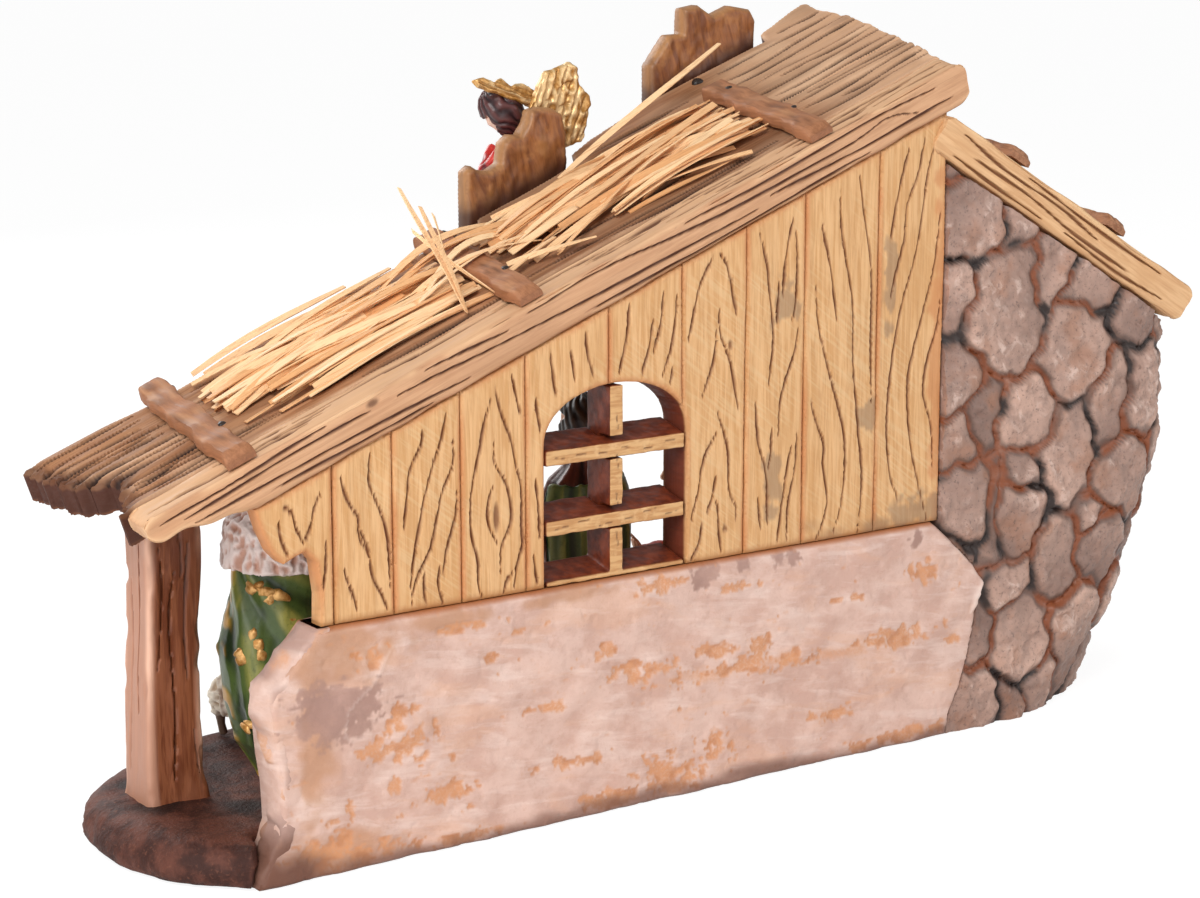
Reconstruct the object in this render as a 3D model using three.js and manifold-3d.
// A small cast nativity scene: a leaning plank stable with a low rendered wall, a field-stone
// side, a long and a short board roof, and the traditional figures inside it.
//
// Units are millimetres and +Z is up. The origin is on the flat underside. +X runs along the
// stable towards its low open end, and the figures look towards -Y. The back wall faces +Y.

import * as THREE from 'three';
import Module from 'manifold-3d';
import { mergeVertices } from 'three/addons/utils/BufferGeometryUtils.js';

const wasm = await Module();
wasm.setup();

// Clearance between pieces that touch
const GAP = 0.3;

// Walls
const BACK_Y = 40;              // outer face of the back wall
const WALL_THICKNESS = 11;
const PLASTER_HEIGHT = 55;
const PLANK_SETBACK = 1.5;      // the planks stand back from the rendered face
const PLANK_THICKNESS = 10;
const STUB_THICKNESS = 5;       // the broken plank at the open end is worn thin
const PLANK_BEVEL = 0.5;
const LOW_WALL_END_X = 100;     // where the whole planks begin at the open end
const HIGH_WALL_END_X = -68.6;  // where the planks stop at the stones

// Long roof, which climbs from the open end to the stone end and leans up to the front
const EAVE_X = 144;
const EAVE_HEIGHT = 84.2;       // top of the roof at the low end of the back edge
const LONG_PITCH = 0.385;       // rise per millimetre along the stable
const FORWARD_RISE = 0.13;      // rise per millimetre towards the front
const LONG_RUN = 231;           // length of the slope along the back edge
const RIDGE_START = 229;        // the deck ends here beside the verge
const RIDGE_SWELL = 11;         // and runs this much further at its front corner
const RIDGE_SWELL_DEPTH = 60;
const VERGE_DEPTH = 10.5;
const VERGE_WIDTH = 8;
const VERGE_PROUD = 0.5;        // the verge board stands out past the wall face
const VERGE_STEP = 0.6;         // and above the deck
const VERGE_TAPER = 26;         // length over which the verge thins to its low tip
const DECK_THICKNESS = 8;
const DECK_BOARD_WIDTH = 19;    // the rear deck board, beside the verge
const LOW_DECK_DEPTH = 48;      // back edge to front edge near the open end
const CREST_LOW_DECK_DEPTH = 49.5;
const HIGH_DECK_DEPTH = 60;
const RIDGE_CORNER_DEPTH = 68;
const RAGGED_END = 4;           // how far the broken board ends wander

// Short roof over the stones
const SHORT_PITCH = 0.586;
const SHORT_RUN = 98;
const SHORT_VERGE_DEPTH = 10;

// Battens nailed across the boards
const BATTEN_WIDTH = 6.5;
const BATTEN_HEIGHT = 3.2;
const BATTEN_SKEW = 0.1;
const LONG_BATTENS = [24, 100, 186];
const SHORT_BATTENS = [26, 64];

// Straw
const STRAND_WIDTH = 1.6;
const STRAND_THICKNESS = 0.9;

// Window
const WINDOW_LEFT = 46.8;
const WINDOW_RIGHT = 7.6;
const WINDOW_SPRING = 87;       // where the arch leaves the upright sides
const WINDOW_TOP = 99.8;
const BAR_WIDTH = 3.4;
const BAR_HEIGHTS = [68.4, 84.4];
const BAR_SETBACK = 0.4;
const BAR_RISE = 2.4;           // the tops of the bars and of the sill climb this much inwards
const SILL_HEIGHT = 1;

// Stone wall
const STONE_SIDE_X = -152;
const STONE_FRONT_Y = -28;
const CORNER_TOP_RADIUS = 17;
const CORNER_FOOT_RADIUS = 63;
const CORNER_BLEND_HEIGHT = 65;
const STONE_PITCH = 15.5;
const STONE_COURSE = 15;
const STONE_RELIEF = 3;
const STONE_SETBACK = 0.4;
const JOINT_WIDTH = 5.5;

// Hollows of the trowelled plaster and the short roof's worn boards
const HOLLOW_DEPTH = 0.9;
const PLASTER_HOLLOW = 22;
const DECK_HOLLOW_WIDTH = 9;
const DECK_HOLLOW_LENGTH = 64;

// Base
const BASE_HEIGHT = 10;
const BASE_FRONT_Y = -55;
const BASE_LOBE_X = 140;

// Post under the low end
const POST_X = 120;
const POST_Y = -4;
const POST_WIDTH = 14;
const POST_DEPTH = 13;

// Crest boards on the front edge of the roof
const CREST_THICKNESS = 6;

// Figures
const STANDING_HEIGHT = 79;
const KNEELING_HEIGHT = 54;
const HEAD_RADIUS = 5.6;
const CAPE_LAYER = 0.6;         // room between a robe and the cape over it
const CAPE_THICKNESS = 1.7;
const ARM_ROOM = 0.5;           // clearance cut round a sleeve
const MANGER_LENGTH = 30;
const MANGER_WIDTH = 15;
const MANGER_HEIGHT = 14;

// Where the figures stand: x, y and turn in radians
const GREEN_KING_PLACE = [93, 3.5, -0.5];
const KNEELING_KING_PLACE = [56, -26, -1.15];
const JOSEPH_PLACE = [13.5, 4, 0.1];
const MARY_PLACE = [-40, -20, 1.2];
const MANGER_PLACE = [-8, -33, 0.08];
const OX_PLACE = [-50, 12, -0.06];
const DONKEY_PLACE = [-102, 12, -0.16];
const DONKEY_SHEEP_PLACE = [-86, -36, -0.5];
const KINGS_SHEEP_PLACE = [84, -34, 3.5];

const finish = {
  plank: { color: 0xd6a45f, roughness: 0.72 },
  verge: { color: 0xd2a068, roughness: 0.72 },
  deck: { color: 0x8b654b, roughness: 0.8 },
  batten: { color: 0x80543a, roughness: 0.75 },
  reveal: { color: 0x7c4630, roughness: 0.75 },
  plaster: { color: 0xd9bfb2, roughness: 0.9 },
  stone: { color: 0x7a6560, roughness: 0.85 },
  ground: { color: 0x57403f, roughness: 0.85 },
  post: { color: 0x8f5a3c, roughness: 0.75 },
  crest: { color: 0xb56a3c, roughness: 0.7 },
  gold: { color: 0xd6a040, roughness: 0.35, metalness: 0.8 },
  straw: { color: 0xeec084, roughness: 0.6 },
  green: { color: 0x2f5a1c, roughness: 0.45 },
  fleece: { color: 0xe8c4b6, roughness: 0.9 },
  crimson: { color: 0x9c2226, roughness: 0.5 },
  blue: { color: 0x2c4a84, roughness: 0.5 },
  umber: { color: 0x5a2f22, roughness: 0.55 },
  ochre: { color: 0xa9783a, roughness: 0.6 },
  ivory: { color: 0xe9dcc4, roughness: 0.6 },
  skin: { color: 0xdba37f, roughness: 0.55 },
  oxhide: { color: 0x6b3f28, roughness: 0.7 },
  donkeyhide: { color: 0x77706c, roughness: 0.8 },
  wool: { color: 0xe6dccb, roughness: 0.9 },
};

const nativity = new THREE.Group();

// Solids

function toManifold(geometry) {
  const bare = geometry.clone();
  bare.deleteAttribute('normal');
  bare.deleteAttribute('uv');
  const merged = mergeVertices(bare, 1e-4);
  return new wasm.Manifold(new wasm.Mesh({
    numProp: 3,
    vertProperties: new Float32Array(merged.attributes.position.array),
    triVerts: new Uint32Array(merged.index.array),
  }));
}

function toGeometry(solid) {
  const mesh = solid.getMesh();
  const geometry = new THREE.BufferGeometry();
  geometry.setAttribute('position', new THREE.BufferAttribute(mesh.vertProperties, 3));
  geometry.setIndex(new THREE.BufferAttribute(mesh.triVerts, 1));
  geometry.computeVertexNormals();
  return geometry;
}

function union(geometries) {
  return toGeometry(geometries.map(toManifold).reduce((whole, next) => whole.add(next)));
}

// Cuts the tools away and keeps the largest body that is left
function cut(geometry, tools) {
  let rest = toManifold(geometry);
  for (const tool of tools) rest = rest.subtract(toManifold(tool));
  const pieces = rest.decompose();
  pieces.sort((one, other) => other.volume() - one.volume());
  return toGeometry(pieces[0]);
}

// Closed skin over rings that all have the same number of points, each ring counterclockwise
// when seen against the direction in which the rings follow each other
function loft(rings) {
  const count = rings[0].length;
  const position = rings.flat().flatMap((point) => [point.x, point.y, point.z]);
  const index = [];
  for (let level = 0; level < rings.length - 1; level += 1) {
    for (let k = 0; k < count; k += 1) {
      const low = level * count + k;
      const lowNext = level * count + ((k + 1) % count);
      index.push(low, lowNext, lowNext + count);
      index.push(low, lowNext + count, low + count);
    }
  }
  const last = (rings.length - 1) * count;
  for (const [a, b, c] of capTriangles(rings[0])) index.push(a, c, b);
  for (const [a, b, c] of capTriangles(rings[rings.length - 1])) {
    index.push(last + a, last + b, last + c);
  }
  const geometry = new THREE.BufferGeometry();
  geometry.setAttribute('position', new THREE.Float32BufferAttribute(position, 3));
  geometry.setIndex(index);
  geometry.computeVertexNormals();
  return geometry;
}

// Triangles of a flat or nearly flat ring, counterclockwise about its own normal
function capTriangles(ring) {
  const normal = new THREE.Vector3();
  ring.forEach((point, k) => {
    const next = ring[(k + 1) % ring.length];
    normal.add(new THREE.Vector3().crossVectors(point, next));
  });
  normal.normalize();
  const turn = new THREE.Quaternion().setFromUnitVectors(normal, new THREE.Vector3(0, 0, 1));
  const flat = ring.map((point) => {
    const turned = point.clone().applyQuaternion(turn);
    return new THREE.Vector2(turned.x, turned.y);
  });
  return THREE.ShapeUtils.triangulateShape(flat, []);
}

// Upright slab: an outline in X and Z, with its rear face at backY and its thickness towards -Y
function uprightSlab(outline, thickness, backY, bevel = 0) {
  const shape = new THREE.Shape(outline.map(([x, z]) => new THREE.Vector2(x, z)));
  const geometry = new THREE.ExtrudeGeometry(shape, {
    depth: thickness - 2 * bevel,
    bevelEnabled: bevel > 0,
    bevelThickness: bevel,
    bevelSize: bevel,
    bevelOffset: -bevel,
    bevelSegments: 1,
    curveSegments: 10,
  });
  geometry.rotateX(Math.PI / 2);
  geometry.translate(0, backY - bevel, 0);
  return geometry;
}

// Board in a roof's own frame: an outline along the slope and the depth, its top at `top`
function roofSlab(outline, thickness, top) {
  const shape = new THREE.Shape(outline.map(([s, t]) => new THREE.Vector2(s, t)));
  const geometry = new THREE.ExtrudeGeometry(shape, { depth: thickness, bevelEnabled: false });
  geometry.translate(0, 0, top - thickness);
  return geometry;
}

// Depth of the hollows in a weathered surface at (u, v), with hollows pitchU by pitchV apart
function hollow(u, v, pitchU, pitchV, depth) {
  const turnU = (2 * Math.PI * u) / pitchU;
  const turnV = (2 * Math.PI * v) / pitchV;
  const level = Math.sin(turnU + Math.sin(turnV / 1.7)) * Math.sin(turnV + 0.8 * Math.sin(turnU / 1.6));
  return depth * (0.55 - 0.5 * level);
}

// Verge board in a roof's own frame: a side profile along the slope and up, from t to t + width
function vergeBoard(profile, t, width) {
  const shape = new THREE.Shape(profile.map(([s, n]) => new THREE.Vector2(s, n)));
  const geometry = new THREE.ExtrudeGeometry(shape, { depth: width, bevelEnabled: false });
  geometry.rotateX(Math.PI / 2);
  geometry.translate(0, t + width, 0);
  return geometry;
}

// Rounded limb through stations of [x, y, z, half width, half height]
function limb(stations, sides = 8) {
  const centres = stations.map(([x, y, z]) => new THREE.Vector3(x, y, z));
  const whole = centres[centres.length - 1].clone().sub(centres[0]).normalize();
  const upright = Math.abs(whole.z) > 0.8;
  const reference = upright ? new THREE.Vector3(0, 1, 0) : new THREE.Vector3(0, 0, 1);
  const rings = stations.map(([, , , halfWidth, halfHeight], k) => {
    const before = centres[Math.max(k - 1, 0)];
    const after = centres[Math.min(k + 1, centres.length - 1)];
    const along = after.clone().sub(before).normalize();
    const side = new THREE.Vector3().crossVectors(reference, along).normalize();
    const up = new THREE.Vector3().crossVectors(along, side);
    return Array.from({ length: sides }, (_, j) => {
      const angle = (j / sides) * 2 * Math.PI;
      return centres[k].clone()
        .addScaledVector(side, halfWidth * Math.cos(angle))
        .addScaledVector(up, halfHeight * Math.sin(angle));
    });
  });
  return loft(rings);
}

function add(parent, name, geometry, finishName) {
  const material = new THREE.MeshStandardMaterial({ metalness: 0, ...finish[finishName] });
  const mesh = new THREE.Mesh(geometry, material);
  mesh.name = name;
  parent.add(mesh);
  return mesh;
}

// Roof surfaces

function longRoofTop(x, y) {
  return EAVE_HEIGHT + LONG_PITCH * (EAVE_X - x) + FORWARD_RISE * (BACK_Y - y);
}

const longSteepness = Math.hypot(LONG_PITCH, FORWARD_RISE, 1);

function longRoofUnderside(x, y, thickness) {
  return longRoofTop(x, y) - thickness * longSteepness - GAP;
}

const SHORT_TOP_X = HIGH_WALL_END_X - GAP;
const SHORT_TOP_HEIGHT = longRoofUnderside(SHORT_TOP_X, BACK_Y, VERGE_DEPTH);

const shortSteepness = Math.hypot(SHORT_PITCH, FORWARD_RISE, 1);

function shortRoofUnderside(x, y, thickness) {
  const top = SHORT_TOP_HEIGHT - SHORT_PITCH * (SHORT_TOP_X - x) + FORWARD_RISE * (BACK_Y - y);
  return top - thickness * shortSteepness - GAP;
}

// Foremost Y of a deck board whose front edge lies at a depth across the roof
function deckFrontY(depth) {
  const lean = (DECK_THICKNESS + VERGE_STEP) * FORWARD_RISE;
  return BACK_Y - (depth * Math.hypot(1, LONG_PITCH) + lean) / longSteepness;
}

// X of the long roof's top at a distance up the slope and a depth
function slopeX(distance, depth) {
  const along = Math.hypot(1, LONG_PITCH);
  return EAVE_X - distance / along + (depth * LONG_PITCH * FORWARD_RISE) / (along * longSteepness);
}

// Frame of a roof: first axis along the slope towards -X, second towards the front, third up
function roofFrame(origin, climb) {
  const normal = new THREE.Vector3(climb, FORWARD_RISE, 1).normalize();
  const slope = new THREE.Vector3(-1, 0, climb).normalize();
  const depth = new THREE.Vector3().crossVectors(normal, slope);
  const frame = new THREE.Group();
  frame.quaternion.setFromRotationMatrix(new THREE.Matrix4().makeBasis(slope, depth, normal));
  frame.position.copy(origin);
  nativity.add(frame);
  return frame;
}

// Broken end of a board, at a depth t across the roof
function ragged(t) {
  const teeth = 0.5 * Math.sin(t * 0.9) + 0.35 * Math.sin(t * 2.3 + 1);
  return RAGGED_END * (teeth + 0.4 * Math.sin(t * 0.21 + 2));
}

// Numbers from one end to the other, at most a step apart
function spread(from, to, step) {
  const count = Math.ceil((to - from) / step);
  return Array.from({ length: count + 1 }, (_, k) => from + ((to - from) * k) / count);
}

function endPoints(from, to, place) {
  const steps = Math.max(2, Math.round((to - from) / 2.6));
  return Array.from({ length: steps + 1 }, (_, k) => {
    const t = from + ((to - from) * k) / steps;
    return [place(t), t];
  });
}

// Where the crest boards stand: distances up the slope
const crestLow = { from: 118.8, to: 149.3 };
const crestHigh = { from: 183.8, to: 218.8 };

function buildLongRoof() {
  const roof = roofFrame(new THREE.Vector3(EAVE_X, BACK_Y, EAVE_HEIGHT), LONG_PITCH);
  const lowEnd = (t) => -0.12 * t + ragged(t);
  const ridgeEnd = (t) => {
    const rest = Math.max(0, 1 - t / RIDGE_SWELL_DEPTH);
    return RIDGE_START + RIDGE_SWELL * (1 - rest ** 1.6) + 0.2 * ragged(t + 7);
  };

  const verge = [
    [-1, -1.5], [0, -4.5], [2, -6], [VERGE_TAPER, -VERGE_DEPTH], [LONG_RUN - 7, -VERGE_DEPTH],
    [LONG_RUN - 1.5, -VERGE_DEPTH * 0.6], [LONG_RUN, -VERGE_DEPTH * 0.3], [LONG_RUN - 2, -1],
    [LONG_RUN - 6, 0], [1, 0],
  ];
  add(roof, 'roof_verge_board', vergeBoard(verge, -VERGE_PROUD, VERGE_WIDTH + VERGE_PROUD), 'verge');

  const seam = VERGE_WIDTH + DECK_BOARD_WIDTH;
  const rear = [
    ...endPoints(VERGE_WIDTH + GAP, seam - GAP, lowEnd).reverse(),
    ...endPoints(VERGE_WIDTH + GAP, seam - GAP, ridgeEnd),
  ];
  add(roof, 'roof_board_rear', roofSlab(rear, DECK_THICKNESS, -VERGE_STEP), 'deck');
  const front = [
    ...endPoints(seam, LOW_DECK_DEPTH - 2, lowEnd).reverse(),
    ...endPoints(seam, RIDGE_CORNER_DEPTH, ridgeEnd),
    [crestHigh.to + 2, RIDGE_CORNER_DEPTH - 3],
    [crestHigh.to + 1, HIGH_DECK_DEPTH],
    [crestHigh.from, HIGH_DECK_DEPTH],
    [crestLow.to + 4, HIGH_DECK_DEPTH - 4],
    [crestLow.to + 1, CREST_LOW_DECK_DEPTH],
    [crestLow.from, CREST_LOW_DECK_DEPTH],
    [crestLow.from - 1, LOW_DECK_DEPTH],
    [10, LOW_DECK_DEPTH],
  ];
  add(roof, 'roof_board_front', roofSlab(front, DECK_THICKNESS, -VERGE_STEP), 'deck');

  const battenEnds = [LOW_DECK_DEPTH - 1, LOW_DECK_DEPTH, HIGH_DECK_DEPTH - 15];
  ['roof_batten_low', 'roof_batten_middle', 'roof_batten_high'].forEach((name, k) => {
    add(roof, name, batten(LONG_BATTENS[k], battenEnds[k]), 'batten');
  });
  add(roof, 'straw_bundle_low', strawBundle(LONG_BATTENS[0], LONG_BATTENS[1], 24, 1), 'straw');
  add(roof, 'straw_bundle_high', strawBundle(LONG_BATTENS[1], LONG_BATTENS[2], 29, 5), 'straw');
}

// Batten across the boards; its near end is cut on the slant
function batten(place, depth) {
  const half = BATTEN_WIDTH / 2;
  const near = 0.4;
  const drift = BATTEN_SKEW * (depth - near);
  const ring = (t, shift, low, high) => [
    new THREE.Vector3(place + shift - half, t, low),
    new THREE.Vector3(place + shift + half, t, low),
    new THREE.Vector3(place + shift + half - 0.5, t, high),
    new THREE.Vector3(place + shift - half + 0.5, t, high),
  ];
  const top = GAP + BATTEN_HEIGHT;
  return loft([
    ring(near, 0, GAP, GAP + BATTEN_HEIGHT * 0.45),
    ring(near + 2.4, 0.2, GAP, top),
    ring(depth / 2, drift / 2 - 0.3, GAP, top - 0.3),
    ring(depth, drift, GAP, top),
  ].reverse());
}

// Loose straw between two battens: a thin mat with flat strands that stick out of it
function strawBundle(fromBatten, toBatten, depthCentre, seed) {
  const from = fromBatten + BATTEN_WIDTH;
  const to = toBatten - BATTEN_WIDTH / 2;
  const length = to - from;
  const floor = GAP - VERGE_STEP;
  const matThickness = 2.2;
  const halfWidth = 9;
  const mat = limb([0, 0.25, 0.6, 0.97].map((share, k) => [
    from + length * share, depthCentre + Math.sin(k * 2 + seed), floor + matThickness / 2,
    halfWidth * [0.5, 0.9, 1, 0.6][k], matThickness / 2,
  ]));
  const strands = Array.from({ length: 9 }, (_, k) => {
    const wander = Math.sin(seed * 1.7 + k * 2.4);
    const strandLength = length * (0.6 + 0.06 * Math.sin(k * 3.1 + seed));
    const strand = new THREE.BoxGeometry(strandLength, STRAND_WIDTH, STRAND_THICKNESS);
    strand.rotateZ(0.12 * Math.sin(k * 1.9 + seed));
    const middle = from + length * (0.5 + 0.1 * wander);
    strand.translate(middle, depthCentre + (k - 4) * 2, floor + matThickness * 0.75);
    return strand;
  });
  return union([mat, ...strands]);
}

function buildShortRoof() {
  const frame = roofFrame(new THREE.Vector3(SHORT_TOP_X, BACK_Y, SHORT_TOP_HEIGHT), -SHORT_PITCH);
  const eaveEnd = (t) => SHORT_RUN - 2 + 0.4 * ragged(t + 3);
  const verge = [
    [SHORT_PITCH * SHORT_VERGE_DEPTH, -SHORT_VERGE_DEPTH], [SHORT_RUN - 10, -SHORT_VERGE_DEPTH],
    [SHORT_RUN - 3, -SHORT_VERGE_DEPTH * 0.8], [SHORT_RUN, -SHORT_VERGE_DEPTH * 0.4], [SHORT_RUN - 2, -0.8],
    [SHORT_RUN - 6, 0], [0, 0],
  ];
  add(frame, 'short_roof_verge_board', vergeBoard(verge, -VERGE_PROUD, VERGE_WIDTH + VERGE_PROUD), 'plank');

  const from = VERGE_WIDTH + GAP;
  const to = HIGH_DECK_DEPTH + 4;
  // The deck starts where its lower edge clears the plank wall
  const start = SHORT_PITCH * (DECK_THICKNESS + VERGE_STEP) + GAP;
  const outline = [[start, to], [start, from], ...endPoints(from, to, eaveEnd)];
  const boards = loft(spread(from - 1, to + 1, DECK_HOLLOW_WIDTH / 4).map((t) => [
    new THREE.Vector3(-1, t, DECK_THICKNESS), new THREE.Vector3(SHORT_RUN + 4, t, DECK_THICKNESS),
    ...spread(-1, SHORT_RUN + 4, DECK_HOLLOW_LENGTH / 8).reverse().map((s) => new THREE.Vector3(
      s, t, -VERGE_STEP - hollow(s, t, DECK_HOLLOW_LENGTH, DECK_HOLLOW_WIDTH, HOLLOW_DEPTH),
    )),
  ]));
  add(frame, 'short_roof_deck', cut(roofSlab(outline, DECK_THICKNESS, -VERGE_STEP), [boards]), 'deck');
  ['short_roof_batten_high', 'short_roof_batten_low'].forEach((name, k) => {
    add(frame, name, batten(SHORT_BATTENS[k], HIGH_DECK_DEPTH - 4), 'batten');
  });
}

// Plumb board against the front edge of the deck
// Each step is [share of its length, rise over the roof]
function crestBoard(span, deckDepth, steps) {
  const xFrom = slopeX(span.from, deckDepth);
  const xTo = slopeX(span.to - 2 * GAP, deckDepth);
  const rearY = deckFrontY(deckDepth) - GAP;
  const foot = (x) => longRoofTop(x, rearY) - DECK_THICKNESS;
  const top = steps.map(([share, rise]) => {
    const x = xFrom + (xTo - xFrom) * share;
    return [x, longRoofTop(x, rearY) + rise];
  });
  return uprightSlab([[xTo, foot(xTo)], [xFrom, foot(xFrom)], ...top], CREST_THICKNESS, rearY);
}

const lowCrestSteps = [
  [0, 10.4], [0.065, 10.6], [0.133, 8.8], [0.24, 7.2], [0.35, 7.6], [0.384, 12.2], [0.46, 12.9],
  [0.55, 11.8], [0.624, 13.9], [0.656, 16.3], [0.745, 16], [0.878, 14.2], [0.975, 11.6], [1, 7.3],
];
const highCrestSteps = [
  [0, 7], [0.084, 9.25], [0.178, 11.9], [0.3, 10.5], [0.315, 16.9], [0.461, 15.6], [0.598, 11.1],
  [0.782, 11.1], [0.956, 8.1], [0.99, 4.8], [1, 2],
];

function buildCrest() {
  const low = crestBoard(crestLow, CREST_LOW_DECK_DEPTH, lowCrestSteps);
  const high = crestBoard(crestHigh, HIGH_DECK_DEPTH, highCrestSteps);
  add(nativity, 'crest_board_low', low, 'crest');
  add(nativity, 'crest_board_high', high, 'crest');
}

// Walls

// Rendered wall with a crumbled end at the open side and a bulge over the stones
function plasterOutline(grow = 0) {
  const lowEnd = [
    [120, 0], [118, 4.7], [114.5, 12], [116.2, 24], [119.5, 36], [117, 44], [109.5, 52.5],
    [104, PLASTER_HEIGHT],
  ];
  const highEnd = [[-66.4, PLASTER_HEIGHT], [-76, 46], [-83.4, 37], [-79, 18], [-72.5, 0]];
  const middleZ = PLASTER_HEIGHT / 2;
  return [...lowEnd, ...highEnd].map(([x, z]) => [
    x + (x > 0 ? grow : -grow),
    z + (z > middleZ ? grow : -grow),
  ]);
}

// Seams between the upright planks, from the open end to the stones
const plankSeams = [LOW_WALL_END_X, 85.6, 68.5, 51.7, 29.6, 9.3, -8.7, -25.9, -48, HIGH_WALL_END_X];

function windowHole() {
  const shape = new THREE.Shape();
  const centre = (WINDOW_LEFT + WINDOW_RIGHT) / 2;
  const half = (WINDOW_LEFT - WINDOW_RIGHT) / 2;
  const sill = PLASTER_HEIGHT - 1;
  shape.moveTo(WINDOW_RIGHT, sill);
  shape.lineTo(WINDOW_LEFT, sill);
  shape.lineTo(WINDOW_LEFT, WINDOW_SPRING);
  for (let k = 1; k < 12; k += 1) {
    const angle = (k / 12) * Math.PI;
    const height = WINDOW_SPRING + (WINDOW_TOP - WINDOW_SPRING) * Math.sin(angle);
    shape.lineTo(centre + half * Math.cos(angle), height);
  }
  shape.lineTo(WINDOW_RIGHT, WINDOW_SPRING);
  const hole = new THREE.ExtrudeGeometry(shape, { depth: 4 * PLANK_THICKNESS, bevelEnabled: false });
  hole.rotateX(Math.PI / 2);
  hole.translate(0, BACK_Y + PLANK_THICKNESS, 0);
  return hole;
}

function buildPlankWall() {
  const rearY = BACK_Y - PLANK_SETBACK;
  const foot = PLASTER_HEIGHT + GAP;
  const head = (x) => longRoofUnderside(x, BACK_Y, VERGE_DEPTH);
  // The first plank is a broken stub beyond the last whole seam
  const stub = [
    [LOW_WALL_END_X + GAP, foot], [103.4, foot], [103.2, 62], [104.3, 69.5], [106.8, 72.3], [109.4, 71.5],
    [112, 70.2], [114.4, 72.6], [116.6, 76.8], [118.6, head(118.6)],
    [LOW_WALL_END_X + GAP, head(LOW_WALL_END_X + GAP)],
  ];
  add(nativity, 'back_plank_01', uprightSlab(stub, STUB_THICKNESS, rearY, PLANK_BEVEL), 'plank');
  const hole = windowHole();
  plankSeams.slice(0, -1).forEach((left, k) => {
    const right = plankSeams[k + 1] + GAP;
    const outline = [[right, foot], [left, foot], [left, head(left)], [right, head(right)]];
    let plank = uprightSlab(outline, PLANK_THICKNESS, rearY, PLANK_BEVEL);
    if (right < WINDOW_LEFT && left > WINDOW_RIGHT) plank = cut(plank, [hole]);
    add(nativity, `back_plank_${String(k + 2).padStart(2, '0')}`, plank, 'plank');
  });
}

// Bar along X whose top climbs towards the inside, from `lowZ` to `highZ` at its outer face
function slopedBar(fromX, toX, outerY, depth, lowZ, highZ) {
  const ring = (x) => [
    new THREE.Vector3(x, outerY - depth, lowZ), new THREE.Vector3(x, outerY, lowZ),
    new THREE.Vector3(x, outerY, highZ), new THREE.Vector3(x, outerY - depth, highZ + BAR_RISE),
  ];
  return loft([ring(fromX), ring(toX)]);
}

function block(fromX, toX, fromY, toY, fromZ, toZ) {
  const box = new THREE.BoxGeometry(toX - fromX, toY - fromY, toZ - fromZ);
  box.translate((fromX + toX) / 2, (fromY + toY) / 2, (fromZ + toZ) / 2);
  return box;
}

// Mullion with its sill, and two bars, in the depth of the planks
function buildWindow() {
  const outerY = BACK_Y - PLANK_SETBACK - BAR_SETBACK;
  const depth = PLANK_THICKNESS - 2 * BAR_SETBACK;
  const foot = PLASTER_HEIGHT + GAP;
  const centre = (WINDOW_LEFT + WINDOW_RIGHT) / 2;
  const half = (WINDOW_LEFT - WINDOW_RIGHT) / 2;
  const archAt = (x) => {
    const share = (x - centre) / half;
    return WINDOW_SPRING + (WINDOW_TOP - WINDOW_SPRING) * Math.sqrt(Math.max(0, 1 - share * share));
  };
  const halfBar = BAR_WIDTH / 2;
  const left = centre + halfBar;
  const right = centre - halfBar;
  const upright = uprightSlab([
    [right, foot], [left, foot], [left, archAt(left) - 2 * GAP], [centre, WINDOW_TOP - 2 * GAP],
    [right, archAt(right) - 2 * GAP],
  ], depth, outerY);
  const barFrom = WINDOW_RIGHT + 2 * GAP;
  const barTo = WINDOW_LEFT - 2 * GAP;
  const sill = slopedBar(barFrom, barTo, outerY, depth, foot, foot + SILL_HEIGHT);

  // The bars cross in lap joints: the mullion is notched outside, each bar inside
  const lapY = outerY - depth / 2;
  const notches = BAR_HEIGHTS.map((height) => block(
    right - 1, left + 1, lapY, outerY + 1, height - halfBar - GAP, height + halfBar + BAR_RISE / 2 + GAP,
  ));
  add(nativity, 'window_mullion', cut(union([upright, sill]), notches), 'reveal');
  BAR_HEIGHTS.forEach((height, k) => {
    const bar = slopedBar(barFrom, barTo, outerY, depth, height - halfBar, height + halfBar);
    const notch = block(
      right - GAP, left + GAP, outerY - depth - 1, lapY + GAP, height - BAR_WIDTH, height + 2 * BAR_WIDTH,
    );
    add(nativity, ['window_bar_lower', 'window_bar_upper'][k], cut(bar, [notch]), 'reveal');
  });
}

// Radius of the rounded stone corner, which is undercut towards the ground
function cornerRadius(z) {
  const share = Math.max(0, 1 - z / CORNER_BLEND_HEIGHT);
  return CORNER_TOP_RADIUS + (CORNER_FOOT_RADIUS - CORNER_TOP_RADIUS) * share ** 1.3;
}

// Point of the stone wall's face in plan, `inset` behind it: back straight, corner arc, side straight
function stoneFace(part, share, z, inset) {
  const radius = cornerRadius(z);
  const centreX = STONE_SIDE_X + radius;
  const centreY = BACK_Y - radius;
  const turn = (angle) => [
    centreX - (radius - inset) * Math.sin(angle), centreY + (radius - inset) * Math.cos(angle),
  ];
  if (part === 'straight') return [SHORT_TOP_X + (centreX - SHORT_TOP_X) * share, BACK_Y - inset];
  if (part === 'arc') return turn((share * Math.PI) / 2);
  return [STONE_SIDE_X + inset, centreY + (STONE_FRONT_Y - centreY) * share];
}

// Distance along the stone wall's face, on the face itself at a height z
function stoneAlong(part, share, z) {
  const radius = cornerRadius(z);
  const straight = SHORT_TOP_X - (STONE_SIDE_X + radius);
  if (part === 'straight') return straight * share;
  if (part === 'arc') return straight + (radius * share * Math.PI) / 2;
  return straight + (radius * Math.PI) / 2 + (BACK_Y - radius - STONE_FRONT_Y) * share;
}

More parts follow.
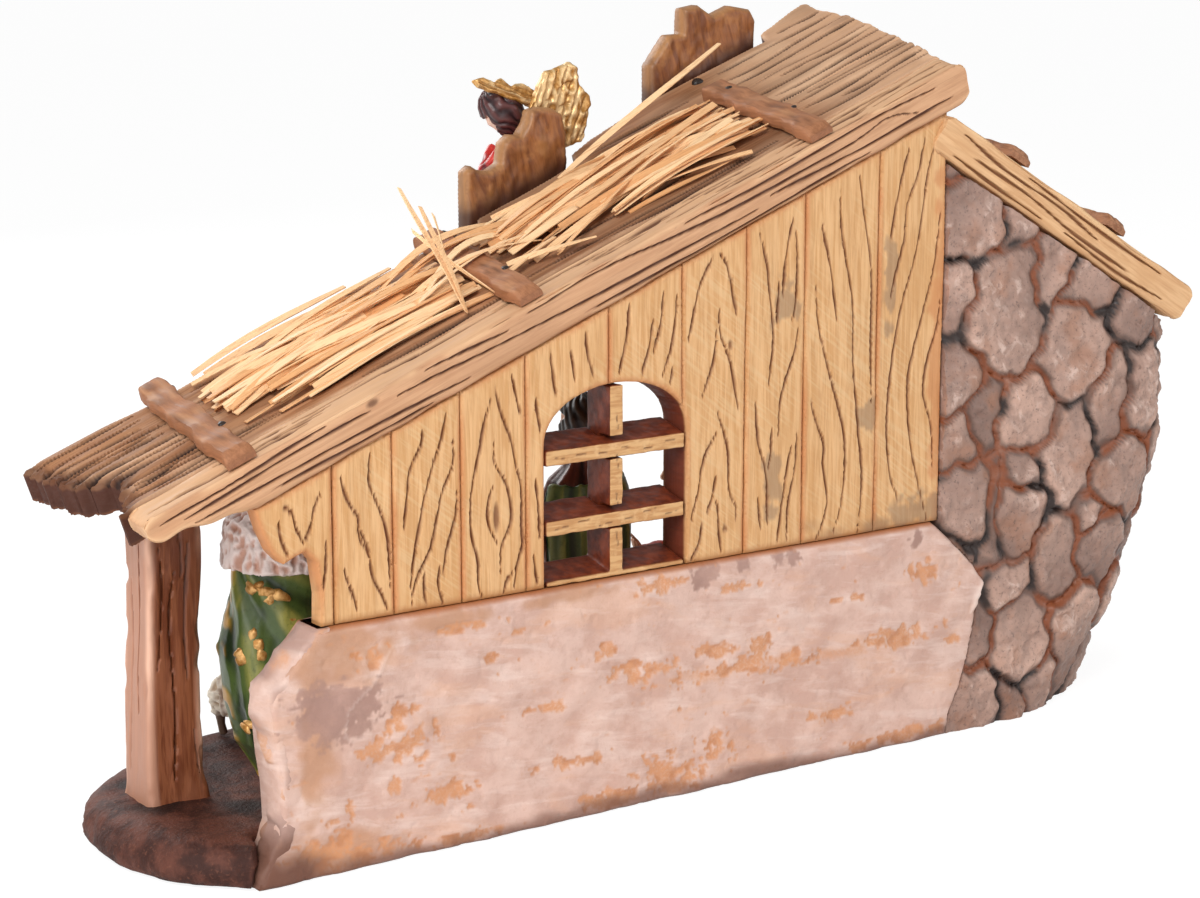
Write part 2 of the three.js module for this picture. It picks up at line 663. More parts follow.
// Field stones that the photograph shows, as [distance along the face, height, half width,
// half height, squareness]
const seenStones = [
  [11, 8, 9, 10, 3.5], [13.2, 22, 4.4, 7.4, 2.6], [28, 20, 9.3, 9.8, 3.4], [35.5, 8.5, 4.8, 6.5, 2.5],
  [47, 20, 6.8, 10.5, 2.6], [25.5, 4.5, 4.6, 4.6, 2.5], [23, 36, 5.4, 5.4, 2.4], [40, 41, 7.6, 9.8, 2.6],
  [52.5, 40.5, 5.2, 7, 2.3], [27, 52.5, 8.4, 9, 2.8], [26, 63.5, 6.5, 4.6, 2.4], [10, 58.5, 8.2, 9.2, 2.5],
  [18, 56, 2.4, 9, 2.4], [49, 51, 5, 4.5, 2.3], [42, 66, 8.2, 14, 2.6], [61, 62, 8, 8, 2.4],
  [57, 78.5, 6.8, 11.5, 2.6], [68, 80, 6.5, 10, 2.3], [4, 74, 6.4, 7, 2.5], [28.5, 79, 9.2, 9.4, 2.8],
  [14.5, 80.5, 5, 7.2, 2.5], [5, 90.5, 7.2, 8.4, 2.7], [44, 93, 12.2, 11.8, 2.4], [20, 106, 12.4, 15, 3],
  [63, 101, 6.8, 6.8, 2.3], [3, 110, 5.6, 7.8, 2.3], [8, 129, 10.2, 10, 2.8], [34.5, 115, 5.8, 9, 2.3],
  [48, 109, 9, 6, 2.4], [4, 45, 4.5, 5, 2.3], [24, 128, 7, 7, 2.4], [4, 148, 8, 7, 2.5],
];

// Round the corner the stones go on in staggered courses of uneven sizes
function unseenStones() {
  const rows = [];
  for (let column = 0; column < 9; column += 1) {
    for (let row = 0; row < 9; row += 1) {
      const stagger = (row % 2) * (STONE_PITCH / 2) + 2 * Math.sin(column * 5.1 + row * 3.7);
      const along = 66 + STONE_PITCH * column + stagger;
      const z = 6 + STONE_COURSE * row + 2 * Math.sin(column * 2.3 + row * 7.1);
      const halfWidth = 7.4 + 1.4 * Math.sin(column * 1.9 + row * 2.7);
      const halfHeight = 7.4 + 1.4 * Math.sin(column * 3.1 + row * 1.3);
      const seenUpTo = z < 30 ? 58 : 56 + Math.min(0.15 * z, 18);
      if (along - halfWidth > seenUpTo) rows.push([along, z, halfWidth, halfHeight, 2.6]);
    }
  }
  return rows;
}

const stones = [...seenStones, ...unseenStones()];

// How far the face stands out at a distance `along` the wall and a height z
function stoneRelief(along, z) {
  const bentAlong = along + 1.2 * Math.sin(0.31 * z + 0.17 * along) + 0.5 * Math.sin(0.83 * z + 1.3);
  const bentZ = z + 1.2 * Math.sin(0.29 * along - 0.13 * z) + 0.5 * Math.sin(0.77 * along + 0.4);
  let nearest = Infinity;
  let second = Infinity;
  stones.forEach(([middle, height, halfWidth, halfHeight, power]) => {
    const u = Math.abs(bentAlong - middle) / halfWidth;
    const v = Math.abs(bentZ - height) / halfHeight;
    const distance = ((u ** power + v ** power) ** (1 / power) - 1) * Math.min(halfWidth, halfHeight);
    if (distance < nearest) {
      second = nearest;
      nearest = distance;
    } else {
      second = Math.min(second, distance);
    }
  });
  const share = Math.min(1, (second - nearest) / JOINT_WIDTH);
  return STONE_RELIEF * (Math.sqrt(1 - (1 - share) ** 2) - 1) - STONE_SETBACK;
}

// One half of the stone wall. Each half is [part of the face, from share, to share, steps] in turn
function stoneWall(stretches) {
  const levels = 52;
  const rings = Array.from({ length: levels + 1 }, (_, level) => {
    const share = level / levels;
    const at = (part, along, inset) => {
      const boardAbove = part === 'side' ? DECK_THICKNESS + VERGE_STEP : SHORT_VERGE_DEPTH;
      const [probeX, probeY] = stoneFace(part, along, 0, inset);
      const probeZ = share * shortRoofUnderside(probeX, probeY, boardAbove);
      const [x, y] = stoneFace(part, along, probeZ, inset);
      return new THREE.Vector3(x, y, share * shortRoofUnderside(x, y, boardAbove));
    };
    const outer = [];
    const inner = [];
    stretches.forEach(([part, from, to, steps]) => {
      for (let k = 0; k <= steps; k += 1) {
        if (k === 0 && outer.length > 0) continue;
        const along = from + ((to - from) * k) / steps;
        const { z } = at(part, along, 0);
        outer.push(at(part, along, -stoneRelief(stoneAlong(part, along, z), z)));
        const innerCorner = k === 0 || k === steps || (part === 'arc' && k % 3 === 0);
        if (innerCorner) inner.push(at(part, along, WALL_THICKNESS));
      }
    });
    return [...outer, ...inner.reverse()];
  });
  return loft(rings);
}

function buildWalls() {
  const outside = BACK_Y + WALL_THICKNESS;
  const trowelled = loft(spread(-1, PLASTER_HEIGHT + 1, PLASTER_HOLLOW / 5).map((z) => [
    ...spread(STONE_SIDE_X / 1.6, LOW_WALL_END_X + 24, PLASTER_HOLLOW / 4).map((x) => new THREE.Vector3(
      x, BACK_Y - hollow(x, z, PLASTER_HOLLOW, PLASTER_HOLLOW * 0.8, HOLLOW_DEPTH), z,
    )),
    new THREE.Vector3(LOW_WALL_END_X + 24, outside, z), new THREE.Vector3(STONE_SIDE_X / 1.6, outside, z),
  ]));
  const plaster = cut(uprightSlab(plasterOutline(), WALL_THICKNESS, BACK_Y, 0.8), [trowelled]);
  add(nativity, 'plaster_wall', plaster, 'plaster');
  buildPlankWall();
  buildWindow();

  const plasterRoom = uprightSlab(plasterOutline(GAP), 2 * WALL_THICKNESS + GAP, BACK_Y + WALL_THICKNESS);
  const jointShare = 0.5;
  const back = stoneWall([['straight', 0, 1, 24], ['arc', 0, jointShare, 12]]);
  add(nativity, 'stone_wall_back', cut(back, [plasterRoom]), 'stone');
  const side = stoneWall([['arc', jointShare + 0.004, 1, 12], ['side', 0, 1, 18]]);
  add(nativity, 'stone_wall_side', side, 'stone');
}

// Base

// Outline of the ground slab seen from above, as [x, y, how free its edge is]
function basePlan() {
  const inside = WALL_THICKNESS + GAP;
  const corner = Array.from({ length: 5 }, (_, k) => stoneFace('arc', 1 - k / 4, 0, inside));
  const control = [
    [121.5, BACK_Y], [130, 32], [BASE_LOBE_X - 2.5, 20], [BASE_LOBE_X, 8], [BASE_LOBE_X - 1, -9],
    [130, -24], [108, -38], [70, -48], [20, BASE_FRONT_Y], [-40, BASE_FRONT_Y + 1], [-95, -49],
    [-128, -41],
  ].map(([x, y]) => new THREE.Vector3(x, y, 0));
  const free = new THREE.CatmullRomCurve3(control).getPoints(36);
  return [
    [113, BACK_Y - inside, 0],
    ...free.map((point, k) => [point.x, point.y, k === 0 ? 0 : 1]),
    [STONE_SIDE_X + inside, STONE_FRONT_Y + 3, 0],
    ...corner.map(([x, y]) => [x, y, 0]),
  ].reverse();
}

function buildBase() {
  const plan = basePlan();
  const ring = (z, inset) => plan.map(([x, y, free], k) => {
    const [beforeX, beforeY] = plan[(k + plan.length - 1) % plan.length];
    const [afterX, afterY] = plan[(k + 1) % plan.length];
    const run = Math.hypot(afterX - beforeX, afterY - beforeY);
    const normalX = (afterY - beforeY) / run;
    const normalY = -(afterX - beforeX) / run;
    const step = free * (inset + 0.5 * Math.sin(k * 1.3));
    return new THREE.Vector3(x - step * normalX, y - step * normalY, z);
  });
  const slab = loft([ring(0, 1), ring(2.5, 0), ring(BASE_HEIGHT * 0.65, 1.2), ring(BASE_HEIGHT, 4.5)]);
  const plasterRoom = uprightSlab(plasterOutline(GAP), 2 * WALL_THICKNESS + GAP, BACK_Y + WALL_THICKNESS);
  add(nativity, 'base', cut(slab, [plasterRoom]), 'ground');
}

// Rough-hewn post that carries the low end of the roof
function buildPost() {
  const levels = 6;
  const rings = Array.from({ length: levels + 1 }, (_, level) => {
    const share = level / levels;
    const halfX = (POST_WIDTH / 2) * (1 - 0.06 * share + 0.03 * Math.sin(level * 2.1));
    const halfY = (POST_DEPTH / 2) * (1 - 0.05 * share + 0.03 * Math.sin(level * 1.3 + 2));
    const chamfer = 1.4;
    const plan = [
      [halfX, -halfY + chamfer], [halfX, halfY - chamfer], [halfX - chamfer, halfY],
      [-halfX + chamfer, halfY], [-halfX, halfY - chamfer], [-halfX, -halfY + chamfer],
      [-halfX + chamfer, -halfY], [halfX - chamfer, -halfY],
    ];
    return plan.map(([dx, dy]) => {
      const x = POST_X + dx;
      const y = POST_Y + dy;
      const foot = BASE_HEIGHT + GAP;
      const head = longRoofUnderside(x, y, DECK_THICKNESS + VERGE_STEP);
      return new THREE.Vector3(x, y, foot + (head - foot) * share);
    });
  });
  add(nativity, 'front_post', loft(rings), 'post');
}

// Figures, each in its own group: feet at z = 0, face towards -Y

// Robe from the ground to the neck: rows of [height, half width, half depth, shift X, shift Y]
const standingRows = [
  [0, 0.155, 0.14], [0.04, 0.162, 0.147], [0.2, 0.143, 0.128], [0.42, 0.125, 0.105], [0.6, 0.132, 0.1],
  [0.7, 0.138, 0.094], [0.76, 0.118, 0.08], [0.8, 0.062, 0.056], [0.835, 0.042, 0.044],
].map((row) => [...row, 0, 0]);

// The green king leans: his hem is gathered to one side
const leaningRows = [
  [0, 0.127, 0.118, -0.073, 0], [0.04, 0.135, 0.122, -0.063, 0], [0.12, 0.146, 0.125, -0.025, 0],
  [0.24, 0.15, 0.12, 0, 0], [0.4, 0.148, 0.11, 0.02, 0], [0.6, 0.124, 0.098, 0, 0],
  [0.7, 0.12, 0.09, 0, 0], [0.76, 0.108, 0.08, 0, 0], [0.8, 0.062, 0.056, 0, 0], [0.835, 0.042, 0.044, 0, 0],
];

const kneelingRows = [
  [0, 0.25, 0.33, 0, 0.06], [0.06, 0.255, 0.335, 0, 0.06], [0.2, 0.225, 0.28, 0, 0.05],
  [0.36, 0.19, 0.2, 0, 0.02], [0.54, 0.18, 0.15, 0, -0.01], [0.66, 0.188, 0.14, 0, -0.03],
  [0.73, 0.165, 0.12, 0, -0.045], [0.78, 0.09, 0.085, 0, -0.06], [0.815, 0.062, 0.065, 0, -0.07],
];

function foldFactor(angle, share, folds, strength, phase) {
  return 1 + strength * (1 - share) ** 0.8 * Math.cos(folds * angle + phase + 2 * share);
}

function rowPoint(row, height, angle, layer, cloth) {
  const [share, halfWidth, halfDepth, shiftX, shiftY] = row;
  const factor = foldFactor(angle, share, cloth.folds, cloth.strength, cloth.phase);
  return new THREE.Vector3(
    shiftX * height + (halfWidth * height * factor + layer) * Math.cos(angle),
    shiftY * height + (halfDepth * height * factor + layer) * Math.sin(angle),
    share * height,
  );
}

const ROBE_SIDES = 16;

function robe(rows, height, cloth) {
  return loft(rows.map((row) => Array.from({ length: ROBE_SIDES }, (_, k) => (
    rowPoint(row, height, (k / ROBE_SIDES) * 2 * Math.PI, 0, cloth)
  ))));
}

// Row of a robe at any share of the height, between its neighbours
function rowAt(rows, share) {
  const above = Math.max(1, rows.findIndex((row) => row[0] >= share));
  const [low, high] = [rows[above - 1], rows[above]];
  const blend = (share - low[0]) / (high[0] - low[0]);
  return low.map((value, k) => value + (high[k] - value) * blend);
}

// Layer of cloth around the back of a robe, open by `opening` of its sides at the front
function wrap(rows, height, cloth, { layer, thickness, opening }) {
  const front = (3 * ROBE_SIDES) / 4;
  const first = front + opening / 2;
  const count = ROBE_SIDES - opening;
  return loft(rows.map((row) => {
    const arc = (offset) => Array.from({ length: count + 1 }, (_, k) => (
      rowPoint(row, height, ((first + k) / ROBE_SIDES) * 2 * Math.PI, offset, cloth)
    ));
    return [...arc(layer + thickness), ...arc(layer).reverse()];
  }));
}

// Head with a nose, chin and skull; `beard` lengthens the chin and `hair` swells the back
function head({ beard = 0, hair = 0.06 }) {
  const sides = 12;
  const rows = [
    [-1.2, 0.3], [-1, 0.6], [-0.6, 0.86], [-0.15, 0.98], [0.3, 1], [0.75, 0.84], [1.05, 0.55], [1.2, 0.2],
  ];
  return loft(rows.map(([level, radius]) => Array.from({ length: sides }, (_, k) => {
    const angle = (k / sides) * 2 * Math.PI;
    const front = Math.max(0, -Math.sin(angle)) ** 6;
    const nose = Math.abs(level + 0.15) < 0.1 ? 0.22 : 0;
    const chin = level < -0.5 ? 0.12 + beard : 0;
    const back = Math.max(0, Math.sin(angle)) * hair * 2;
    const reach = HEAD_RADIUS * (radius * 0.86 + front * (nose + chin) + back * radius);
    return new THREE.Vector3(reach * Math.cos(angle), reach * 1.08 * Math.sin(angle), HEAD_RADIUS * level);
  })));
}

function figure([x, y, turn]) {
  const group = new THREE.Group();
  group.position.set(x, y, BASE_HEIGHT + GAP);
  group.rotation.z = turn;
  nativity.add(group);
  return group;
}

// Arms bent forward with the hands together at `reach` in front, at `level` of the height, the
// elbows `spread` to the sides. `room` makes them fatter and longer, to cut space for them out
// of a neighbour
function arms({ height, shoulder, forward, level, reach, spread = 0.155 }, room = 0) {
  const stations = (side) => [
    [side * (0.645 * spread - (0.4 * room) / height), forward, shoulder + room / height, 0.034],
    [side * spread, forward - 0.03, shoulder - 0.13, 0.041],
    [side * 0.58 * spread, forward - 0.1, level - 0.01, 0.037],
    [side * 0.02, -reach - room / height, level, 0.021],
  ];
  return [-1, 1].map((side) => limb(stations(side).map(([x, y, z, girth]) => (
    [x * height, y * height, z * height, girth * height + room, girth * height + room]
  )), 7));
}

function neckTop(rows, height) {
  const [share, , , shiftX, shiftY] = rows[rows.length - 1];
  return [shiftX * height, shiftY * height, share * height];
}

function placeHead(group, name, rows, height, shape, nod = 0, finishName = 'skin') {
  const [x, y, z] = neckTop(rows, height);
  const mesh = add(group, name, head(shape), finishName);
  mesh.position.set(x, y, z + GAP + HEAD_RADIUS * 1.2 + Math.abs(nod) * HEAD_RADIUS * 0.3);
  mesh.rotation.x = nod;
  return mesh;
}

function crown(group, name, seat) {
  const points = 8;
  const ring = (radius, level) => Array.from({ length: points * 2 }, (_, k) => {
    const angle = (k / (points * 2)) * 2 * Math.PI;
    const lift = level > 0 && k % 2 === 0 ? 2 : 0;
    return [radius * Math.cos(angle), radius * Math.sin(angle), level + lift];
  });
  const outer = HEAD_RADIUS * 0.98;
  const inner = HEAD_RADIUS * 0.3;
  const band = [ring(outer, 0), ring(outer * 1.08, 2.6), ring(outer * 0.9, 2.6), ring(inner, 1.6)];
  const geometry = loft(band.map((points3) => points3.map(([px, py, pz]) => new THREE.Vector3(px, py, pz))));
  const mesh = add(group, name, geometry, 'gold');
  mesh.position.copy(seat.position);
  mesh.position.z += HEAD_RADIUS * 1.2 + GAP;
}

// Cape or cloak over a robed figure, kept clear of the arms
function cloak(rows, height, cloth, shape, armShapes) {
  return cut(wrap(rows, height, cloth, shape), armShapes);
}

function buildGreenKing() {
  const king = figure(GREEN_KING_PLACE);
  const cloth = { folds: 8, strength: 0.07, phase: 0.6 };
  const height = STANDING_HEIGHT;
  const pose = { height, shoulder: 0.7, forward: -0.02, level: 0.54, reach: 0.2, spread: 0.11 };
  add(king, 'green_king_robe', union([robe(leaningRows, height, cloth), ...arms(pose)]), 'crimson');
  const room = arms(pose, ARM_ROOM);
  const cape = { layer: CAPE_LAYER, thickness: CAPE_THICKNESS, opening: 6 };
  add(king, 'green_king_cape', cloak(leaningRows.slice(0, 8), height, cloth, cape, room), 'green');
  const collar = { layer: CAPE_LAYER + CAPE_THICKNESS + GAP, thickness: 2, opening: 2 };
  const collarRows = [rowAt(leaningRows, 0.64), ...leaningRows.slice(6)];
  add(king, 'green_king_collar', cloak(collarRows, height, cloth, collar, room), 'fleece');
  const kingHead = placeHead(king, 'green_king_head', leaningRows, height, { beard: 0.3 });
  crown(king, 'green_king_crown', kingHead);
  const gift = giftCasket();
  gift.translate(0, -pose.reach * height - 3.4, pose.level * height - 2);
  add(king, 'green_king_gift', cut(gift, room), 'gold');
}

// Small lidded casket, turned about an upright axis
function giftCasket() {
  const profile = [
    [0, 0], [3, 0], [3.4, 1], [2.6, 2], [3.8, 4], [3.8, 5.5], [4.2, 5.8], [3.6, 7.4], [1.6, 8.8], [0.7, 9.8],
    [0, 10.2],
  ];
  const casket = new THREE.LatheGeometry(profile.map(([r, z]) => new THREE.Vector2(r, z)), 10);
  casket.rotateX(Math.PI / 2);
  return casket;
}

function buildKneelingKing() {
  const king = figure(KNEELING_KING_PLACE);
  const cloth = { folds: 9, strength: 0.05, phase: 2 };
  const height = KNEELING_HEIGHT;
  const pose = { height, shoulder: 0.66, forward: -0.06, level: 0.52, reach: 0.38 };
  add(king, 'kneeling_king_robe', union([robe(kneelingRows, height, cloth), ...arms(pose)]), 'ochre');
  const cape = { layer: CAPE_LAYER, thickness: CAPE_THICKNESS, opening: 6 };
  const room = arms(pose, ARM_ROOM);
  add(king, 'kneeling_king_cape', cloak(kneelingRows.slice(0, 8), height, cloth, cape, room), 'umber');
  placeHead(king, 'kneeling_king_head', kneelingRows, height, { beard: 0.2, hair: 0.1 });
}

function buildJoseph() {
  const joseph = figure(JOSEPH_PLACE);
  const cloth = { folds: 7, strength: 0.06, phase: 1.4 };
  const height = STANDING_HEIGHT;
  const pose = { height, shoulder: 0.7, forward: -0.02, level: 0.56, reach: 0.17 };
  add(joseph, 'joseph_robe', union([robe(standingRows, height, cloth), ...arms(pose)]), 'umber');
  const mantle = { layer: CAPE_LAYER, thickness: CAPE_THICKNESS, opening: 8 };
  const room = arms(pose, ARM_ROOM);
  add(joseph, 'joseph_mantle', cloak(standingRows.slice(0, 7), height, cloth, mantle, room), 'green');
  placeHead(joseph, 'joseph_head', standingRows, height, { beard: 0.28, hair: 0.12 });
  const staff = limb([
    [16.2, -11, 0, 1, 1], [15.6, -11.4, 40, 0.9, 0.9], [16.2, -11, 66, 0.9, 0.9], [14.6, -11.6, 71, 0.8, 0.8],
    [12.4, -11.8, 70.4, 0.7, 0.7],
  ], 6);
  add(joseph, 'joseph_staff', staff, 'batten');
}

function buildMary() {
  const mary = figure(MARY_PLACE);
  const cloth = { folds: 8, strength: 0.05, phase: 0.3 };
  const height = KNEELING_HEIGHT;
  const pose = { height, shoulder: 0.66, forward: -0.06, level: 0.56, reach: 0.3 };
  add(mary, 'mary_dress', union([robe(kneelingRows, height, cloth), ...arms(pose)]), 'crimson');
  const mantle = { layer: CAPE_LAYER, thickness: CAPE_THICKNESS, opening: 6 };
  const room = arms(pose, ARM_ROOM);
  add(mary, 'mary_mantle', cloak(kneelingRows.slice(0, 8), height, cloth, mantle, room), 'blue');
  const maryHead = placeHead(mary, 'mary_head', kneelingRows, height, { hair: 0.04 }, 0.2);
  const veilRows = [
    [-1.45, 1.02], [-0.9, 1.04], [-0.3, 1.1], [0.3, 1.12], [0.8, 0.98], [1.15, 0.66], [1.33, 0.2],
  ];
  const veil = loft(veilRows.map(([level, radius]) => {
    const arc = (reach) => Array.from({ length: 13 }, (_, k) => {
      const angle = -Math.PI / 2 + 0.95 + (k / 12) * (2 * Math.PI - 1.9);
      return new THREE.Vector3(
        reach * Math.cos(angle), reach * 1.12 * Math.sin(angle) + 0.3, HEAD_RADIUS * level,
      );
    });
    const inner = HEAD_RADIUS * radius + GAP;
    return [...arc(inner + 0.9), ...arc(inner).reverse()];
  }));
  const veilMesh = add(mary, 'mary_veil', veil, 'ivory');
  veilMesh.position.copy(maryHead.position);
  veilMesh.rotation.copy(maryHead.rotation);
}

// Manger: a tapered trough with a hollow top on crossed legs
function buildManger() {
  const manger = figure(MANGER_PLACE);
  const ring = (z, halfX, halfY) => [
    new THREE.Vector3(-halfX, -halfY, z), new THREE.Vector3(halfX, -halfY, z),
    new THREE.Vector3(halfX, halfY, z), new THREE.Vector3(-halfX, halfY, z),
  ];
  const halfX = MANGER_LENGTH / 2;
  const halfY = MANGER_WIDTH / 2;
  const board = 1.6;
  const floor = MANGER_HEIGHT * 0.45;
  const ground = new THREE.BoxGeometry(3 * MANGER_LENGTH, 3 * MANGER_WIDTH, 10);
  ground.translate(0, 0, -5);
  const hollow = loft([
    ring(floor + board, halfX * 0.86 - board, halfY * 0.55 - board * 0.4),
    ring(MANGER_HEIGHT + 1, halfX - board, halfY - board),
  ]);
  const crib = loft([ring(floor, halfX * 0.86, halfY * 0.55), ring(MANGER_HEIGHT, halfX, halfY)]);
  const trough = cut(crib, [hollow]);
  const legs = [-1, 1].flatMap((end) => [-1, 1].map((side) => limb([
    [end * halfX * 0.68, -side * halfY * 0.75, -1, 1.2, 1.2],
    [end * halfX * 0.68, side * halfY * 0.2, floor + 1, 1.2, 1.2],
  ], 4)));
  add(manger, 'manger', cut(union([trough, ...legs]), [ground]), 'deck');
  const bedFloor = floor + board + GAP;
  const bed = loft([
    ring(bedFloor, halfX * 0.86 - board - 0.8, halfY * 0.55 - board * 0.4 - 0.5),
    ring(MANGER_HEIGHT - 0.8, halfX - board - 1.2, halfY - board - 1),
  ]);
  add(manger, 'manger_straw', bed, 'straw');
  const top = MANGER_HEIGHT - 0.8 + GAP;
  const body = limb([
    [-halfX * 0.72, 0, top + 1.6, 1.2, 1.5], [-halfX * 0.45, 0, top + 2.2, 2.6, 2.2],
    [0, 0, top + 2.6, 3.4, 2.6], [halfX * 0.28, 0, top + 2.4, 3, 2.3], [halfX * 0.36, 0, top + 2.2, 1.4, 1.4],
  ]);
  const skull = limb([
    [halfX * 0.32, 0, top + 2.6, 1.3, 1.3], [halfX * 0.4, 0, top + 3, 2.6, 2.6],
    [halfX * 0.55, 0, top + 3.1, 3, 3], [halfX * 0.7, 0, top + 3, 2.3, 2.3],
    [halfX * 0.76, 0, top + 2.9, 0.9, 0.9],
  ]);
  add(manger, 'infant', union([body, skull]), 'ivory');
}

// Animals

// Four-legged animal facing +X, its back at `height`: body, neck, head, legs and extras in one
function beast({ length, height, girth, neck, muzzle, legs, extras = [] }) {
  const belly = height - girth;
  const half = length / 2;
  const body = limb([
    [-half, 0, belly + girth * 0.55, girth * 0.12, girth * 0.15],
    [-half * 0.9, 0, belly + girth * 0.52, girth * 0.34, girth * 0.38],
    [-half * 0.5, 0, belly + girth * 0.5, girth * 0.44, girth * 0.47],
    [0, 0, belly + girth * 0.47, girth * 0.47, girth * 0.49],
    [half * 0.5, 0, belly + girth * 0.52, girth * 0.42, girth * 0.47],
    [half * 0.85, 0, belly + girth * 0.55, girth * 0.28, girth * 0.36],
    [half * 0.95, 0, belly + girth * 0.55, girth * 0.1, girth * 0.12],
  ], 10);
  const shin = legs.map(([x, side, lean]) => limb([
    [x * half, side * girth * 0.26, belly + girth * 0.35, girth * 0.17, girth * 0.17],
    [x * half + lean * 0.5, side * girth * 0.27, belly * 0.55, girth * 0.1, girth * 0.1],
    [x * half + lean, side * girth * 0.27, 0, girth * 0.11, girth * 0.11],
  ], 6));
  return union([body, limb(neck, 8), limb(muzzle, 8), ...shin, ...extras]);
}

const standingLegs = [[-0.72, -1, 0], [-0.72, 1, 1.5], [0.66, -1, 1], [0.66, 1, -0.5]];

function pairOf(make) {
  return [make(-1), make(1)];
}

function buildOx() {
  const ox = figure(OX_PLACE);
  const height = 38;
  const shape = beast({
    length: 46,
    height,
    girth: 21,
    neck: [[15, 0, 30, 5, 7], [21, -1, 32, 4.6, 6], [26, -2, 33, 4.2, 5]],
    muzzle: [
      [24, -1.8, 34, 3.4, 4], [27, -2.4, 34, 4.4, 4.8], [31, -3.4, 32, 3.6, 3.8], [35, -4.6, 29.5, 2.8, 3],
      [37.4, -5.2, 28.2, 2.4, 2.2],
    ],
    legs: standingLegs,
    extras: [
      ...pairOf((side) => limb([
        [26, side * 2.6 - 2, 37, 1.3, 1.3], [26.4, side * 6 - 2, 38.4, 1.1, 1.1],
        [27, side * 7.8 - 2, 41.4, 0.5, 0.5],
      ], 6)),
      ...pairOf((side) => limb([
        [25, side * 3 - 2, 35, 1.2, 1.6], [24.4, side * 7 - 2, 34.6, 0.9, 1.8],
        [24, side * 9.4 - 2, 33.8, 0.5, 0.7],
      ], 6)),
    ],
  });
  add(ox, 'ox', shape, 'oxhide');
}

function buildDonkey() {
  const donkey = figure(DONKEY_PLACE);
  const height = 36;
  const shape = beast({
    length: 36,
    height,
    girth: 16,
    neck: [[12, 0, 30, 3.6, 5.4], [16.5, 0, 36, 3.2, 4.6], [19, 0, 41, 3, 4]],
    muzzle: [
      [17.5, 0, 43.5, 2.6, 2.8], [19.5, 0, 42.6, 3.3, 3.6], [24, 0, 38.6, 2.6, 2.9], [27.6, 0, 35.4, 2.3, 2.4],
      [29, 0, 34.2, 1.6, 1.4],
    ],
    legs: standingLegs,
    extras: pairOf((side) => limb([
      [18, side * 1.8, 44, 1.1, 1.2], [17.4, side * 2.8, 49, 1.4, 1], [17.6, side * 3.2, 53, 0.4, 0.4],
    ], 6)),
  });
  add(donkey, 'donkey', shape, 'donkeyhide');
}

function buildSheep() {
  const shape = () => beast({
    length: 20,
    height: 15.5,
    girth: 10.5,
    neck: [[6, 0, 11, 2.8, 3.6], [9.5, 0, 14, 2.2, 2.8], [10.5, 0, 15.4, 2, 2.2]],
    muzzle: [[9, 0, 17, 1.8, 2], [11, 0, 16.6, 2.2, 2.4], [14, 0, 14.8, 1.6, 1.7], [15.6, 0, 13.8, 1.1, 1]],
    legs: standingLegs,
    extras: pairOf((side) => limb([
      [10, side * 1.6, 17.2, 0.7, 0.9], [9.6, side * 4, 16.4, 0.5, 0.8], [9.4, side * 5, 15.8, 0.3, 0.3],
    ], 5)),
  });
  add(figure(DONKEY_SHEEP_PLACE), 'sheep_near_donkey', shape(), 'wool');
  add(figure(KINGS_SHEEP_PLACE), 'sheep_near_kings', shape(), 'wool');
}

// Scalloped feather plate in its own plane
function featherPlate(points) {
  const shape = new THREE.Shape(points.map(([across, up]) => new THREE.Vector2(across, up)));
  return new THREE.ExtrudeGeometry(shape, {
    depth: 1, bevelEnabled: true, bevelSize: 0.5, bevelThickness: 0.5, bevelOffset: -0.5, bevelSegments: 1,
  });
}

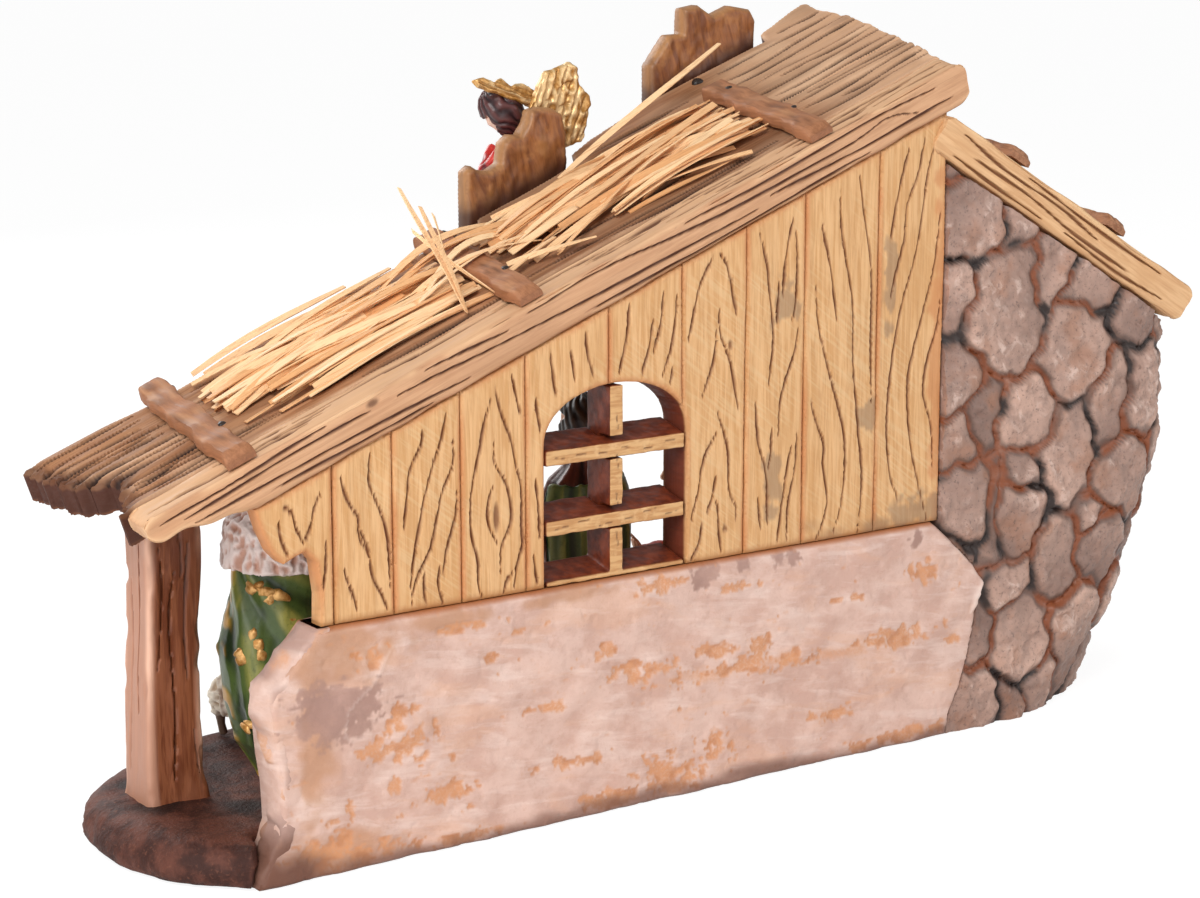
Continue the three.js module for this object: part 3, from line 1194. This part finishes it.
// Angel that hangs on the front of the lower crest board, head and wings above its top
function buildAngel() {
  const boardFront = deckFrontY(CREST_LOW_DECK_DEPTH) - GAP - CREST_THICKNESS;
  const neckX = 15;
  const neckRise = 8.2;
  const angel = new THREE.Group();
  angel.position.set(neckX, boardFront - GAP, longRoofTop(neckX, boardFront) + neckRise);
  nativity.add(angel);
  const gown = limb([
    [-6, -6, -32, 1.2, 1.2], [-4.6, -7.2, -30, 5.4, 4], [-2.8, -7, -22, 5.6, 4.4], [-1.2, -6.4, -12, 5, 3.8],
    [0.6, -6, -5, 5.2, 3.4], [1.8, -6, -2.4, 3.6, 2.8], [2.8, -6.4, -1.5, 1.8, 1.8],
  ], 10);
  const sleeves = [-1, 1].map((side) => limb([
    [side * 4, -5.6, -4.4, 1.8, 1.8], [side * 6.4, -9, -9, 1.9, 2], [side * 3, -12.5, -6.4, 1.5, 1.6],
    [side * 0.9, -14, -3.4, 0.9, 1],
  ], 7));
  add(angel, 'angel_gown', union([gown, ...sleeves]), 'crimson');
  const angelHead = add(angel, 'angel_head', head({ hair: 0.1 }), 'skin');
  angelHead.scale.setScalar(0.84);
  angelHead.position.set(1.4, -9, 5.2);
  angelHead.rotation.set(0.35, 0.5, 0);

  // The right wing stands upright, the left one leans over the head
  const right = add(angel, 'angel_wing_right', featherPlate([
    [-1, 4], [-2.1, 8.4], [-4.6, 13], [-6.1, 15], [-8.1, 15.2], [-10.4, 16.3], [-13.3, 16.9], [-15.3, 15.4],
    [-15.3, 12.5], [-17, 10], [-18.8, 8.5], [-19, 6.3], [-18.3, 4.7], [-18, 2.3], [-17, -0.8], [-16, -2.4],
    [-12.6, -3.2], [-9, -4], [-5.6, -2.6], [-2.6, 0],
  ]), 'gold');
  right.position.set(0, -GAP - 0.5, 0);
  right.rotation.x = Math.PI / 2;
  const left = add(angel, 'angel_wing_left', featherPlate([
    [-2.4, -0.8], [8, -0.4], [18, -0.6], [19.6, 0.8], [16.6, 2.4], [14.2, 2], [11.4, 4], [8.4, 3.2],
    [5, 5], [1, 4.2], [-2, 2.4],
  ]), 'gold');
  const along = new THREE.Vector3(0.94, -0.04, 0.34).normalize();
  const lean = new THREE.Vector3(0, -0.6, 0.8);
  lean.addScaledVector(along, -along.dot(lean)).normalize();
  const normal = new THREE.Vector3().crossVectors(along, lean);
  left.quaternion.setFromRotationMatrix(new THREE.Matrix4().makeBasis(along, lean, normal));
  left.position.set(-6, -3, 6.6);
}

buildLongRoof();
buildShortRoof();
buildCrest();
buildWalls();
buildBase();
buildPost();
buildGreenKing();
buildKneelingKing();
buildJoseph();
buildMary();
buildManger();
buildOx();
buildDonkey();
buildSheep();
buildAngel();

export default nativity;
